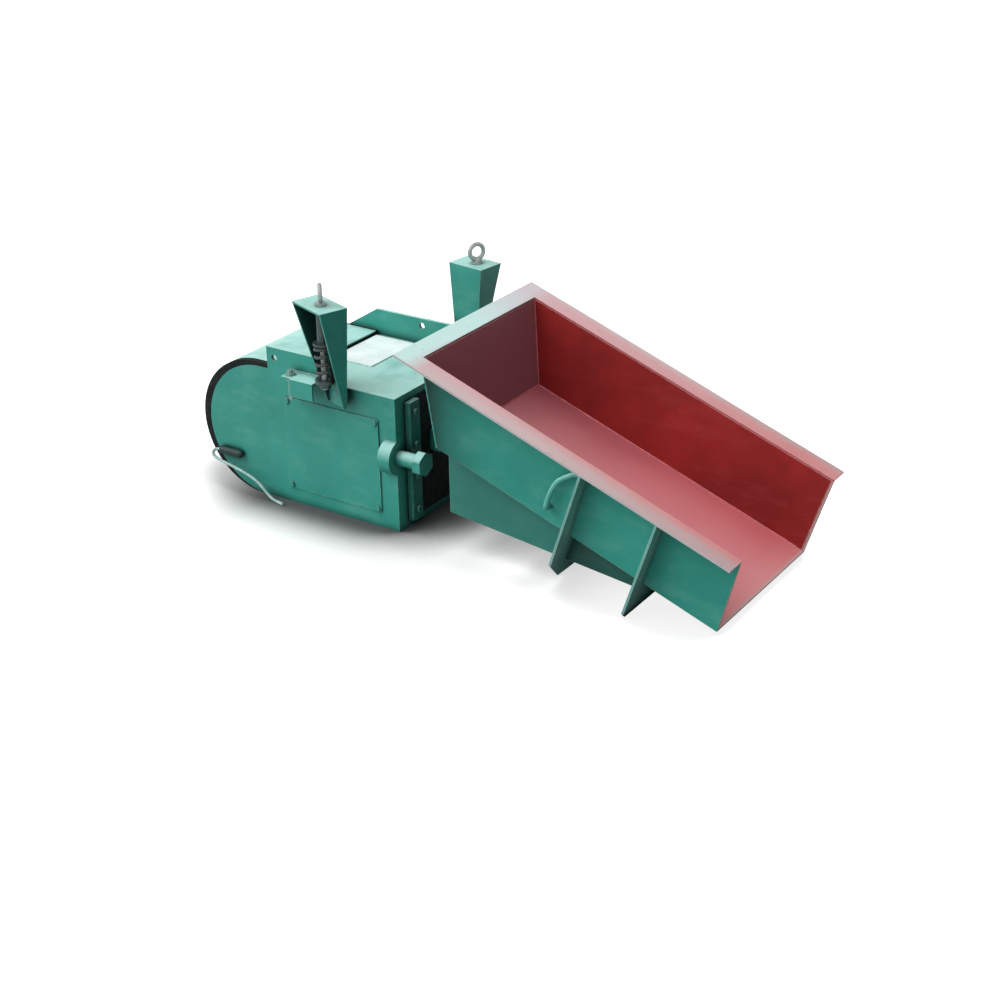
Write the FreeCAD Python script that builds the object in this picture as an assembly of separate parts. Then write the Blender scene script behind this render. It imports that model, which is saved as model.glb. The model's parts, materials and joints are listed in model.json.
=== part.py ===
import FreeCAD, Part
import math
import os

# Linear vibratory feeder: an open trough that slopes down towards its mouth, shaken along X by a
# closed electromagnetic drive behind it. Millimetres. +X is the feed direction, +Y the far side,
# +Z up. The origin lies on the floor, on the drive's flat base, under the near damper.

V = FreeCAD.Vector
X_AXIS, Y_AXIS, Z_AXIS = V(1, 0, 0), V(0, 1, 0), V(0, 0, 1)
NEAR, FAR = -1, 1
SIDES = (("near", NEAR), ("far", FAR))

# Trough
trough_tilt = 20.0            # slope of the trough floor below level, degrees
rim_inner_width = 700.0       # between the walls at the rim
floor_inner_width = 646.0     # between the walls at the floor
trough_depth = 297.0          # rim to floor, square to the floor
rim_length = 1289.0           # rim, from the back wall to the mouth
mouth_lead = 17.0             # how far the floor reaches past the rim at the mouth
back_lead = 143.0             # how far forward of the rim the back wall meets the floor
trough_plate = 8.0            # thickness of floor, walls and back
rim_back_x = 476.0            # inner back edge of the rim
rim_back_height = 752.0       # the same edge above the floor
rim_side_width = 82.0         # flat rim bar on each side
rim_back_width = 69.0         # flat rim bar at the back
rim_bar = 8.0                 # thickness of the rim bars

# Ribs and wedge frame under the trough
rib_plate = 9.0
rear_rib_u = 704.0            # rear face of each rib, along the trough from the back edge of the rim
front_rib_u = 1004.0
rib_depth = 501.0             # rim to a rib's lower edge, unless the floor cuts it first
rib_shoulder = 410.0          # depth at which a rib's sides turn in
rib_shoulder_in = 37.0        # how far the sides have come in by there
rib_corner = 97.0             # how far the cut corner goes in below the shoulder
skirt_plate = 10.0
skirt_spread = 570.0          # over the outer faces of the two skirts
skirt_rear_height = 158.0     # lower edge above the floor at the mounting plate
skirt_drop = 6.8              # slope of the lower edge, degrees
mounting_plate = 16.0
loop_bar_r = 9.0              # lifting loop of bent round bar behind the rear rib
loop_outset = 62.0            # loop's middle plane in from the rim's outer edge
loop_reach = 96.0             # how far the loop stands back from the rib
loop_top = 52.0               # top of the loop below the rim
loop_foot = 240.0             # where its lower end turns in to the wall

# Drive housing
housing_height = 520.0
housing_width = 512.0         # over the side plates
housing_front_x = 275.0
round_centre_x = -340.0       # centre of the rounded rear of the side plates
side_plate = 14.0
base_plate = 12.0
front_wall = 14.0
seal_rubber = 10.0            # thickness of the rubber between side plate and hood
seal_width = 52.0
hood_rise = 16.0              # hood above the side plates' straight top
hood_sheet = 6.0
hood_front_x = -168.0
hood_set_back = 22.0          # centre of the hood's round behind that of the side plates
top_lap = 30.0                # top plate reaching back under the hood

# Lifting lugs cut in one with the side plates
near_lug_height = 87.0
far_lug_height = 100.0
side_lug_hole_r = 13.0
near_lug_hole_height = 567.0
far_lug_hole_height = 591.0
near_lug_hole_in = 34.0       # near lug's hole, forward of its rear edge
far_lug_hole_in = 211.0       # far lug's hole, forward of the top of its shoulder
near_lug_x = (-300.0, 20.0)
far_lug_x = (-170.0, 300.0)
far_lug_slope = 160.0         # length of the sloping rear shoulder of the far lug

# Inspection covers and the pale access plate on the top
cover_x = (-228.0, 200.0)
cover_z = (62.0, 426.0)
cover_sheet = 5.0
window_x = (-190.0, 105.0)
window_z = (96.0, 380.0)
access_x = (-160.0, 20.0)
access_y = (-50.0, 222.0)
access_sheet = 4.0
access_lap = 20.0

# Drive line
drive_height = 290.0
beam_width = 100.0
beam_height = 80.0
fork_rear_x = 60.0
fork_gap = 232.0              # housing front to the fork's flange
fork_flange = 16.0
fork_flange_width = 280.0
fork_flange_height = 176.0
gusset_run = 70.0             # gusset on top of the beam, behind the flange
gusset_below = 8.0            # its crest below the flange's upper edge
gusset_plate = 20.0
mount_bolt_r = 10.0
mount_bolt_y = 110.0
mount_bolt_z = 58.0
bolt_clearance = 1.0

# Leaf springs, two packs, one above and one below the beam
leaf_count = 4
leaf_thickness = 6.0
leaf_height = 80.0
leaf_gap = 4.0
leaf_half_length = 238.0
pack_rear_x = 157.0
pack_offset = 10.0            # packs clear of the beam
clamp_reach = 56.0            # how far the clamps cover the leaves' ends
clamp_block = 22.0
abutment = 30.0
centre_clamp_width = 90.0
centre_clamp = 20.0
centre_bolt_r = 8.0

# Electromagnet
armature_thickness = 40.0
armature_width = 160.0
armature_height = 180.0
air_gap = 2.2
core_depth = 128.0
core_yoke = 40.0
core_width = 120.0
core_leg = 30.0
core_centre_leg = 50.0
coil_clearance = 1.5
coil_set_back = 6.0           # front of the coil behind the core's faces
coil_wall_y = 24.0
carrier_plate = 20.0
carrier_width = 240.0
carrier_height = 392.0
carrier_foot = 90.0           # foot behind the upright plate
carrier_rib = 16.0
carrier_rib_in = 20.0         # middle of each rib in from the carrier's side
core_bolt_r = 8.0
core_bolt_y = 40.0
core_bolt_z = 60.0

# Jacking bolts that clamp the leaf springs
jack_y = 240.0
jack_r = 28.0
jack_boss_r = 65.0
jack_boss_length = 52.0
jack_head_across = 80.0
jack_head = 32.0
jack_shank_out = 84.0         # bare shank between housing front and head
thread_clearance = 0.05

# Front rubber diaphragm and the bars that hold it
diaphragm_rubber = 6.0
diaphragm_half_width = 204.0
diaphragm_z = (30.0, 492.0)
beam_clearance = 12.0
front_opening_margin = 30.0
bar_width = 58.0
bar_bolt_in = 40.0            # end bolts in from the diaphragm's edges
bar_bolt_count = 4
bar_thickness = 22.0
bar_bolt_r = 8.0

# Dampers
near_damper_length = 186.0
far_damper_length = 156.0
damper_low_ratio = 0.6        # length at a bracket's lower end over that at its top
damper_depth = 112.0
damper_plate = 8.0
damper_top = 850.0
damper_bottom = 462.0
damper_toe = 14.0             # depth of the bracket at its lower end
damper_run_in = 48.0          # height of its foot plates against the side plate
damper_foot_in = 36.0         # front foot plate behind the bracket's lower front corner
near_damper_x = 23.0
far_damper_x = 234.0
near_damper_out = 75.0        # middle of the bracket out from the side plate
far_damper_out = 68.0
near_damper_yaw = -20.0       # degrees
far_damper_yaw = -8.0
rod_ahead = 9.0               # rod in front of the bracket's middle
rod_r = 11.0
rod_hole_clearance = 1.5
eye_outer_r = 36.0
eye_wire_r = 8.0
near_eye_turn = 60.0          # turn of the eye about its rod, degrees
far_eye_turn = 20.0
eye_sink = 2.0                # eye let into the collar's top
neck_height = 12.0
collar_r = 20.0
collar_height = 10.0
rod_tail = 6.0                # rod below its nut
spring_wire_r = 6.5
spring_mean_r = 28.0
spring_turns = 4.0
spring_length = 130.0
sleeve_r = 19.0
seat_r = 35.0
seat_height = 14.0
seat_level = 560.0
rod_nut_height = 18.0
rod_nut_across = 36.0
ledge_length = 104.0
ledge_depth = 78.0
ledge_height = 66.0
ledge_level = 472.0
near_ledge_back = 55.0        # front end of the ledge behind the middle of the damper
far_ledge_back = 63.0
ledge_wall = 8.0
ledge_lug = 44.0              # lug behind the ledge for its stud
ledge_stud_r = 9.0
ledge_stud_out = 42.0
ledge_stud_above = 20.0       # stud above the ledge's top, and far below it
ledge_stud_length = 112.0

# Cable outlet and the short lead
gland_r = 15.0
gland_in = 143.0              # closed end of the tube forward of the side plate's rear end
gland_length = 92.0
gland_bore_left = 20.0        # solid part of the tube before its closed end
gland_height = 143.0
gland_saddle = 50.0           # length of the foot under the tube
cable_r = 5.5
cable_clearance = 0.5

# Fasteners
cover_bolt_r = 6.0
cover_bolt_in = 14.0
head_height_ratio = 0.65      # height of a hexagon head over its thread's diameter
head_across_ratio = 1.6       # hexagon across flats over the thread's diameter

seat_gap = 0.3                # between rounded faces that only rest on each other

REACH = 4000.0                # larger than the feeder, for cutting tools

half_width = housing_width / 2
plate_inner = half_width - side_plate
housing_r = housing_height / 2
deg = math.radians


def box(x, y, z):
    """A block from three (low, high) pairs."""
    return Part.makeBox(x[1] - x[0], y[1] - y[0], z[1] - z[0], V(x[0], y[0], z[0]))


def mirrored(side, low, high):
    """A (low, high) pair on the near or far side from distances out from the middle."""
    return (low, high) if side == FAR else (-high, -low)


def rod(r, length, base, axis=Z_AXIS):
    return Part.makeCylinder(r, length, base, axis)


def hexagon(across, height, base, axis=Z_AXIS):
    """A hexagonal prism standing on base along axis."""
    corner = across / math.sqrt(3)
    points = [V(corner * math.cos(deg(60 * i)), corner * math.sin(deg(60 * i)), 0) for i in range(7)]
    prism = Part.Face(Part.makePolygon(points)).extrude(V(0, 0, height))
    prism.Placement = FreeCAD.Placement(base, FreeCAD.Rotation(Z_AXIS, axis))
    return prism


def hex_bolt(r, length, base, axis):
    """A bolt whose head rests on base and whose shank runs back against axis."""
    head = hexagon(2 * r * head_across_ratio, 2 * r * head_height_ratio, base, axis)
    return head.fuse(rod(r, length, base - axis * length, axis))


def hex_nut(r, base, axis):
    """A nut that starts at base and grows along axis, with a plain bore."""
    height = 2 * r * head_height_ratio
    nut = hexagon(2 * r * head_across_ratio, height, base, axis)
    return nut.cut(rod(r + thread_clearance, height, base, axis))


def plate_xz(points, y):
    """A flat plate from (x, z) corners, spanning the (low, high) pair y."""
    corners = [V(px, y[0], pz) for px, pz in points]
    return Part.Face(Part.makePolygon(corners + corners[:1])).extrude(V(0, y[1] - y[0], 0))


def plate_yz(points, x):
    """A flat plate from (y, z) corners, spanning the (low, high) pair x."""
    corners = [V(x[0], py, pz) for py, pz in points]
    return Part.Face(Part.makePolygon(corners + corners[:1])).extrude(V(x[1] - x[0], 0, 0))


def group(solids):
    """Separate solids that share a node."""
    return Part.makeCompound(solids)


def both(make):
    """The near and the far piece of a kind, as one group."""
    return group([make(NEAR), make(FAR)])


def tilted(shape):
    """Trough coordinates (along the trough, across, square to the floor) to the part's frame."""
    turned = shape.copy()
    turned.rotate(V(0, 0, 0), Y_AXIS, trough_tilt)
    turned.translate(V(rim_back_x, 0, rim_back_height))
    return turned


def untilted(shape):
    """The part's frame to trough coordinates."""
    turned = shape.copy()
    turned.translate(V(-rim_back_x, 0, -rim_back_height))
    turned.rotate(V(0, 0, 0), Y_AXIS, -trough_tilt)
    return turned


def rounded_path(points):
    """Straight runs joined by tangent arcs, each as large as its two runs allow."""
    pts = [V(*p) for p in points]
    edges, start, radii = [], pts[0], []
    for a, b, c in zip(pts, pts[1:], pts[2:]):
        back, ahead = a - b, c - b
        shorter = min(back.Length, ahead.Length)
        d1, d2 = back.normalize(), ahead.normalize()
        turn = math.pi - math.acos(max(-1.0, min(1.0, d1.dot(d2))))
        trim = 0.45 * shorter
        r = trim / math.tan(turn / 2)
        radii.append(r)
        t1, t2 = b + d1 * trim, b + d2 * trim
        bisector = (d1 + d2).normalize()
        mid = b + bisector * (math.hypot(r, trim) - r)
        edges.append(Part.LineSegment(start, t1).toShape())
        edges.append(Part.Arc(t1, mid, t2).toShape())
        start = t2
    edges.append(Part.LineSegment(start, pts[-1]).toShape())
    return Part.Wire(edges), radii


# Trough, in its own coordinates: u along the floor, y across, v square to the floor, rim at v = 0

rim_half = rim_inner_width / 2
floor_half = floor_inner_width / 2
rim_outer = rim_half + rim_side_width
wall_lean = math.atan2(rim_half - floor_half, trough_depth)
wall_step = trough_plate / math.cos(wall_lean)
floor_under = trough_depth + trough_plate


def wall_at(v):
    """Distance of a wall's inner face from the middle, at depth v below the rim."""
    return rim_half - v * math.tan(wall_lean)


def pan_outer():
    """Outer section of the pan as (y, v) corners."""
    top = wall_at(0) + wall_step
    low = wall_at(floor_under) + wall_step
    return [(-top, 0), (-low, -floor_under), (low, -floor_under), (top, 0)]


def pan_inner():
    """Inner section of the pan, open above the rim."""
    above = trough_depth
    return [(-wall_at(-above), above), (-floor_half, -trough_depth),
            (floor_half, -trough_depth), (wall_at(-above), above)]


def behind_back(offset):
    """Everything behind the back wall's inner face moved back by offset."""
    lean = math.atan2(back_lead, trough_depth)
    shift = offset / math.cos(lean)
    low_u = REACH * math.tan(lean) - shift
    high_u = -REACH * math.tan(lean) - shift
    points = [(high_u, REACH), (low_u, -REACH), (-REACH, -REACH), (-REACH, REACH)]
    return plate_xz(points, (-REACH, REACH))


def trough_pan():
    """Floor and both walls, folded from one plate, cut to the back wall and to the mouth."""
    span = (-REACH, REACH)
    section = plate_yz(pan_outer(), (-back_lead, 2 * rim_length)).cut(plate_yz(pan_inner(), span))
    section = section.cut(box(span, span, (-rim_bar, REACH)))
    section = section.cut(behind_back(0))
    slope = mouth_lead / trough_depth
    high_u = rim_length - REACH * slope
    low_u = rim_length + REACH * slope
    mouth = plate_xz([(high_u, REACH), (low_u, -REACH), (REACH, -REACH), (REACH, REACH)], span)
    return tilted(section.cut(mouth))


def trough_back():
    """Back wall, a flat plate across the end of the pan."""
    slab = behind_back(0).cut(behind_back(trough_plate))
    outline = plate_yz(pan_outer(), (-REACH, REACH))
    plate = slab.common(outline).cut(box((-REACH, REACH), (-REACH, REACH), (-rim_bar, REACH)))
    return tilted(plate)


def rim_side(side):
    """Flat bar along one side of the rim, mitred to the back bar."""
    inner, outer, back = rim_half, rim_outer, -rim_back_width
    corners = [(0, inner), (rim_length, inner), (rim_length, outer), (back, outer)]
    points = [V(u, side * y, -rim_bar) for u, y in corners]
    bar = Part.Face(Part.makePolygon(points + points[:1])).extrude(V(0, 0, rim_bar))
    return tilted(bar)


def rim_back():
    """Flat bar across the back of the rim, mitred to the side bars."""
    corners = [(0, -rim_half), (0, rim_half), (-rim_back_width, rim_outer), (-rim_back_width, -rim_outer)]
    points = [V(u, y, -rim_bar) for u, y in corners]
    bar = Part.Face(Part.makePolygon(points + points[:1])).extrude(V(0, 0, rim_bar))
    return tilted(bar)


def below_floor():
    """Everything under the surface that the feeder stands on."""
    return box((-REACH, REACH), (-REACH, REACH), (-REACH, 0))


def rib(rear_u):
    """A U-shaped plate around the pan, as wide as the rim at its top, cut level at the floor."""
    shoulder_y = rim_outer - rib_shoulder_in
    half = [(rim_outer, -rim_bar), (shoulder_y, -rib_shoulder), (shoulder_y - rib_corner, -rib_depth)]
    outline = half + [(-y, v) for y, v in reversed(half)]
    plate = plate_yz(outline, (rear_u, rear_u + rib_plate))
    plate = plate.cut(plate_yz(pan_outer(), (-REACH, REACH)))
    return tilted(plate).cut(below_floor())


mounting_x = housing_front_x + fork_gap + fork_flange


def skirt(side):
    """One side of the wedge frame, from the mounting plate to the front rib."""
    y = mirrored(side, skirt_spread / 2 - skirt_plate, skirt_spread / 2)
    start = mounting_x
    run = REACH / 2
    fall = run * math.tan(deg(skirt_drop))
    outline = [(start, skirt_rear_height), (start + run, skirt_rear_height - fall),
               (start + run, REACH), (start, REACH)]
    plate = untilted(plate_xz(outline, y))
    limit = box((-REACH, front_rib_u), (-REACH, REACH), (-REACH, -floor_under))
    return plate.common(limit)


def skirt_parts(side):
    """The skirt in two lengths, behind and in front of the rear rib."""
    whole = skirt(side)
    rear = whole.common(box((-REACH, rear_rib_u), (-REACH, REACH), (-REACH, REACH)))
    front = whole.common(box((rear_rib_u + rib_plate, REACH), (-REACH, REACH), (-REACH, REACH)))
    return tilted(rear), tilted(front)


def under_floor_limit(shape):
    """Cut a piece of the wedge frame off at the underside of the trough floor."""
    above = tilted(box((-REACH, REACH), (-REACH, REACH), (-floor_under, REACH)))
    return shape.cut(above)


mount_bolt_points = [(sy * mount_bolt_y, drive_height + sz * mount_bolt_z)
                     for sy in (-1, 1) for sz in (-1, 0, 1)]


def mount_holes(x):
    """The holes for the bolts between the fork's flange and the mounting plate."""
    hole_r = mount_bolt_r + bolt_clearance
    return [rod(hole_r, x[1] - x[0], V(x[0], y, z), X_AXIS) for y, z in mount_bolt_points]


def trough_mounting_plate():
    """Rear end plate of the wedge frame, where the fork's flange bolts on."""
    x = (mounting_x, mounting_x + mounting_plate)
    half_y = skirt_spread / 2 - skirt_plate
    plate = box(x, (-half_y, half_y), (skirt_rear_height, rim_back_height))
    plate = under_floor_limit(plate)
    return plate.cut(group(mount_holes(x)))


def lifting_loop(side):
    """Bent round bar from the rear rib over and back to the trough's wall."""
    out = rim_outer - loop_outset
    back = rear_rib_u - loop_reach
    wall = wall_at(loop_foot) + trough_plate / 2
    points = [(rear_rib_u, out, -loop_top), (rear_rib_u - 34, out, -loop_top + 2),
              (back + 12, out, -loop_top - 58), (back, out, -loop_top - 120),
              (back + 4, out, -loop_foot), (back + 4, wall, -loop_foot)]
    path = rounded_path([(u, side * y, v) for u, y, v in points])[0]
    profile = Part.Wire(Part.makeCircle(loop_bar_r, V(rear_rib_u, side * out, -loop_top), X_AXIS))
    bar = path.makePipeShell([profile], True, False)
    pan = plate_yz(pan_outer(), (back - 100, rear_rib_u))
    return tilted(bar.cut(pan))


# Drive housing

def d_outline(centre_x, r, front_x, top, low):
    """Outline with a round rear and a straight front, as a face in the plane y = 0."""
    mid = (top + low) / 2
    arc = Part.Arc(V(centre_x, 0, low), V(centre_x - r, 0, mid), V(centre_x, 0, top)).toShape()
    lines = [Part.makeLine(V(centre_x, 0, top), V(front_x, 0, top)),
             Part.makeLine(V(front_x, 0, top), V(front_x, 0, low)),
             Part.makeLine(V(front_x, 0, low), V(centre_x, 0, low))]
    return Part.Face(Part.Wire([arc] + lines))


def spanning(face, y):
    """A face in the plane y = 0 made solid between the (low, high) pair y."""
    moved = face.copy()
    moved.translate(V(0, y[0], 0))
    return moved.extrude(V(0, y[1] - y[0], 0))


hood_top = housing_height + hood_rise
hood_centre_x = round_centre_x - hood_set_back
jack_boss_x = (housing_front_x - jack_boss_length, housing_front_x)
clamp_front_x = pack_rear_x + leaf_count * leaf_thickness + (leaf_count - 1) * leaf_gap + clamp_block


def cover_bolt_points():
    """Corner bolts of an inspection cover."""
    xs = (cover_x[0] + cover_bolt_in, cover_x[1] - cover_bolt_in)
    zs = (cover_z[0] + cover_bolt_in, cover_z[1] - cover_bolt_in)
    return [(x, z) for x in xs for z in zs]


def cover_holes(y):
    """The threaded holes for those bolts across the (low, high) pair y."""
    hole_r = cover_bolt_r + thread_clearance
    return [rod(hole_r, y[1] - y[0], V(x, y[0], z), Y_AXIS) for x, z in cover_bolt_points()]


def side_housing_plate(side):
    """Side plate with its lifting lug, its window and the boss of the jacking bolt."""
    y = mirrored(side, plate_inner, half_width)
    plate = spanning(d_outline(round_centre_x, housing_r, housing_front_x, housing_height, 0), y)
    lug_x = near_lug_x if side == NEAR else far_lug_x
    shoulder = 0 if side == NEAR else far_lug_slope
    crest = housing_height + (near_lug_height if side == NEAR else far_lug_height)
    corners = [(lug_x[0] - shoulder, housing_height - 20), (lug_x[0] - shoulder, housing_height),
               (lug_x[0], crest), (min(lug_x[1], housing_front_x), crest),
               (min(lug_x[1], housing_front_x), housing_height - 20)]
    if shoulder == 0:
        del corners[1]
    plate = plate.fuse(plate_xz(corners, y))
    hole_x = lug_x[0] + (near_lug_hole_in if side == NEAR else far_lug_hole_in)
    hole_z = near_lug_hole_height if side == NEAR else far_lug_hole_height
    plate = plate.cut(rod(side_lug_hole_r, side_plate, V(hole_x, y[0], hole_z), Y_AXIS))
    boss = rod(jack_boss_r, jack_boss_length, V(jack_boss_x[0], side * jack_y, drive_height), X_AXIS)
    inner_x = (clamp_front_x + 2, housing_front_x - front_wall)
    inside = box((-REACH, inner_x[0]), mirrored(side, 0, plate_inner), (0, REACH))
    wall = box((inner_x[1], REACH), mirrored(side, 0, plate_inner), (0, REACH))
    plate = plate.fuse(boss.cut(inside).cut(wall)).removeSplitter()
    bore = rod(jack_r + thread_clearance, REACH, V(clamp_front_x, side * jack_y, drive_height), X_AXIS)
    plate = plate.cut(bore)
    plate = plate.cut(box(window_x, y, window_z))
    return plate.cut(group(cover_holes(y)))


def hood_face(offset):
    """Section of the hood's outside moved inwards by offset."""
    r = hood_top / 2
    return d_outline(hood_centre_x, r - offset, hood_front_x, hood_top - offset, offset)


def hood_seal(side):
    """Rubber strip between a side plate and the hood, with a lip around the side plate's round edge."""
    y = mirrored(side, plate_inner - seal_rubber, plate_inner)
    ring = spanning(hood_face(0), y).cut(spanning(hood_face(seal_width), y))
    span = (-REACH, REACH)
    ring = ring.cut(box((hood_front_x - seal_width, REACH), span, (-REACH, housing_height - base_plate)))
    ring = ring.cut(box((hood_front_x - top_lap, REACH), span, (-REACH, housing_height)))
    lip_y = mirrored(side, plate_inner, half_width)
    plate = d_outline(round_centre_x, housing_r, housing_front_x, housing_height, 0)
    lip = spanning(hood_face(0), lip_y).cut(spanning(plate, lip_y))
    lug_start = near_lug_x[0] if side == NEAR else far_lug_x[0] - far_lug_slope
    lip = lip.cut(box((lug_start, REACH), (-REACH, REACH), (-REACH, REACH)))
    return ring.fuse(lip).cut(box((hood_centre_x, REACH), (-REACH, REACH), (-REACH, base_plate)))


def rear_hood():
    """Curved sheet that closes the rear of the housing and laps over the top plate."""
    width = plate_inner - seal_rubber
    y = (-width, width)
    sheet = spanning(hood_face(0), y).cut(spanning(hood_face(hood_sheet), y))
    sheet = sheet.cut(box((hood_front_x - hood_sheet, REACH), y, (-REACH, housing_height)))
    return sheet.cut(box((hood_centre_x, REACH), y, (-REACH, base_plate)))


def base():
    """Flat base between the side plates."""
    return box((hood_centre_x, housing_front_x), (-plate_inner, plate_inner), (0, base_plate))


def top_plate():
    """Top of the housing, reaching back under the hood, with the access opening."""
    z = (housing_height - base_plate, housing_height)
    plate = box((hood_front_x - top_lap, housing_front_x), (-plate_inner, plate_inner), z)
    opening = box((access_x[0] + access_lap, access_x[1] - access_lap),
                  (access_y[0] + access_lap, access_y[1] - access_lap), z)
    return plate.cut(opening)


def access_plate():
    """Pale flat plate over the opening in the top."""
    return box(access_x, access_y, (housing_height, housing_height + access_sheet))


def front_plate():
    """Front wall between base and top, open in the middle for the fork's beam."""
    x = (housing_front_x - front_wall, housing_front_x)
    wall = box(x, (-plate_inner, plate_inner), (base_plate, housing_height - base_plate))
    half_y = beam_width / 2 + front_opening_margin
    half_z = beam_height / 2 + front_opening_margin
    wall = wall.cut(box(x, (-half_y, half_y), (drive_height - half_z, drive_height + half_z)))
    for side in (NEAR, FAR):
        centre = V(x[0], side * jack_y, drive_height)
        wall = wall.cut(rod(jack_r + bolt_clearance, front_wall, centre, X_AXIS))
    return wall.cut(group(bar_bolt_holes(x)))


def inspection_cover(side):
    """Flat cover over the window in a side plate."""
    y = mirrored(side, half_width, half_width + cover_sheet)
    return box(cover_x, y, cover_z).cut(group(cover_holes(y)))


def cover_bolts():
    """The four corner bolts of each inspection cover."""
    outer = half_width + cover_sheet
    length = cover_sheet + side_plate - 2
    return group([hex_bolt(cover_bolt_r, length, V(x, side * outer, z), Y_AXIS * side)
                  for side in (NEAR, FAR) for x, z in cover_bolt_points()])


# Front diaphragm

bar_middle = diaphragm_half_width - bar_width / 2
bar_bolt_pitch = (diaphragm_z[1] - diaphragm_z[0] - 2 * bar_bolt_in) / (bar_bolt_count - 1)
bar_bolt_z = [diaphragm_z[0] + bar_bolt_in + i * bar_bolt_pitch for i in range(bar_bolt_count)]


def bar_bolt_holes(x):
    """The holes for the clamp bars' bolts across the (low, high) pair x."""
    return [rod(bar_bolt_r + thread_clearance, x[1] - x[0], V(x[0], side * bar_middle, z), X_AXIS)
            for side in (NEAR, FAR) for z in bar_bolt_z]


def diaphragm():
    """Rubber sheet that closes the front opening around the beam."""
    x = (housing_front_x, housing_front_x + diaphragm_rubber)
    sheet = box(x, (-diaphragm_half_width, diaphragm_half_width), diaphragm_z)
    half_y = beam_width / 2 + beam_clearance
    half_z = beam_height / 2 + beam_clearance
    sheet = sheet.cut(box(x, (-half_y, half_y), (drive_height - half_z, drive_height + half_z)))
    return sheet.cut(group(bar_bolt_holes(x)))


def clamp_bar(side):
    """Vertical bar that holds one side of the diaphragm."""
    x = (housing_front_x + diaphragm_rubber, housing_front_x + diaphragm_rubber + bar_thickness)
    y = mirrored(side, diaphragm_half_width - bar_width, diaphragm_half_width)
    return box(x, y, diaphragm_z).cut(group(bar_bolt_holes(x)))


def clamp_bar_bolts():
    """Bolts through both bars and the diaphragm into the front wall."""
    face = housing_front_x + diaphragm_rubber + bar_thickness
    length = bar_thickness + diaphragm_rubber + front_wall - 2
    return group([hex_bolt(bar_bolt_r, length, V(face, side * bar_middle, z), X_AXIS)
                  for side in (NEAR, FAR) for z in bar_bolt_z])


# Leaf springs and their clamps

beam_top = beam_height / 2
pack_low = {"lower": drive_height - beam_top - pack_offset - leaf_height,
            "upper": drive_height + beam_top + pack_offset}
pack_thickness = leaf_count * leaf_thickness + (leaf_count - 1) * leaf_gap
clamp_z = (pack_low["lower"] - 5, pack_low["upper"] + leaf_height + 5)
centre_bolt_points = [(sy * centre_clamp_width / 4, low + leaf_height / 2)
                      for low in pack_low.values() for sy in (-1, 1)]


def centre_holes(x):
    """The holes for the bolts in the middle of the packs across the (low, high) pair x."""
    hole_r = centre_bolt_r + bolt_clearance
    return [rod(hole_r, x[1] - x[0], V(x[0], y, z), X_AXIS) for y, z in centre_bolt_points]


def leaf_pack(name):
    """Flat spring leaves, one behind the other."""
    z = (pack_low[name], pack_low[name] + leaf_height)
    leaves = []
    for i in range(leaf_count):
        start = pack_rear_x + i * (leaf_thickness + leaf_gap)
        x = (start, start + leaf_thickness)
        leaf = box(x, (-leaf_half_length, leaf_half_length), z)
        leaves.append(leaf.cut(group(centre_holes(x))))
    return group(leaves)


def leaf_spacers(name):
    """Spacers between the leaves, at both ends and in the middle."""
    z = (pack_low[name], pack_low[name] + leaf_height)
    end = (leaf_half_length - clamp_reach, leaf_half_length)
    spacers = []
    for i in range(leaf_count - 1):
        start = pack_rear_x + leaf_thickness + i * (leaf_thickness + leaf_gap)
        x = (start, start + leaf_gap)
        spacers.append(box(x, mirrored(NEAR, *end), z))
        spacers.append(box(x, mirrored(FAR, *end), z))
        middle = box(x, (-centre_clamp_width / 2, centre_clamp_width / 2), z)
        spacers.append(middle.cut(group(centre_holes(x))))
    return spacers


def end_spacers():
    """Spacers held at the housing, both packs."""
    return group([s for name in pack_low for i, s in enumerate(leaf_spacers(name)) if i % 3 < 2])


def middle_spacers():
    """Spacers held at the fork, both packs."""
    return group([s for name in pack_low for i, s in enumerate(leaf_spacers(name)) if i % 3 == 2])


def abutment_block(side):
    """Block on the inside of a side plate that the leaves' ends are pressed against."""
    y = mirrored(side, leaf_half_length - clamp_reach, plate_inner)
    return box((pack_rear_x - abutment, pack_rear_x), y, clamp_z)


def clamp_block_solid(side):
    """Block between the leaves' ends and the tip of the jacking bolt."""
    y = mirrored(side, leaf_half_length - clamp_reach, plate_inner)
    return box((clamp_front_x - clamp_block, clamp_front_x), y, clamp_z)


def jack_bolt(side):
    """Large bolt that clamps one end of the spring packs from the front."""
    tip = V(clamp_front_x, side * jack_y, drive_height)
    face = V(housing_front_x + jack_shank_out, side * jack_y, drive_height)
    shank = rod(jack_r, face.x - tip.x, tip, X_AXIS)
    head = hexagon(jack_head_across, jack_head, face, X_AXIS)
    rounded = rod(jack_head_across / math.sqrt(3) - 2, jack_head, face, X_AXIS)
    return shank.fuse(head.common(rounded))


# Fork, armature and electromagnet

fork_front_x = housing_front_x + fork_gap + fork_flange
cross_x = (pack_rear_x + pack_thickness, pack_rear_x + pack_thickness + centre_clamp)


def fork():
    """Casting that joins trough, springs and armature: flange, beam and cross plate."""
    half_y = beam_width / 2
    top = drive_height + beam_top
    beam = box((fork_rear_x, fork_front_x), (-half_y, half_y), (drive_height - beam_top, top))
    flange_x = (fork_front_x - fork_flange, fork_front_x)
    flange = box(flange_x, (-fork_flange_width / 2, fork_flange_width / 2),
                 (drive_height - fork_flange_height / 2, drive_height + fork_flange_height / 2))
    cross = box(cross_x, (-centre_clamp_width / 2, centre_clamp_width / 2), clamp_z)
    crest = drive_height + fork_flange_height / 2 - gusset_below
    gusset = plate_xz([(flange_x[0], crest), (flange_x[0], top), (flange_x[0] - gusset_run, top)],
                      (-gusset_plate / 2, gusset_plate / 2))
    body = beam.fuse([flange, cross, gusset]).removeSplitter()
    return body.cut(group(mount_holes(flange_x) + centre_holes(cross_x)))


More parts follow.
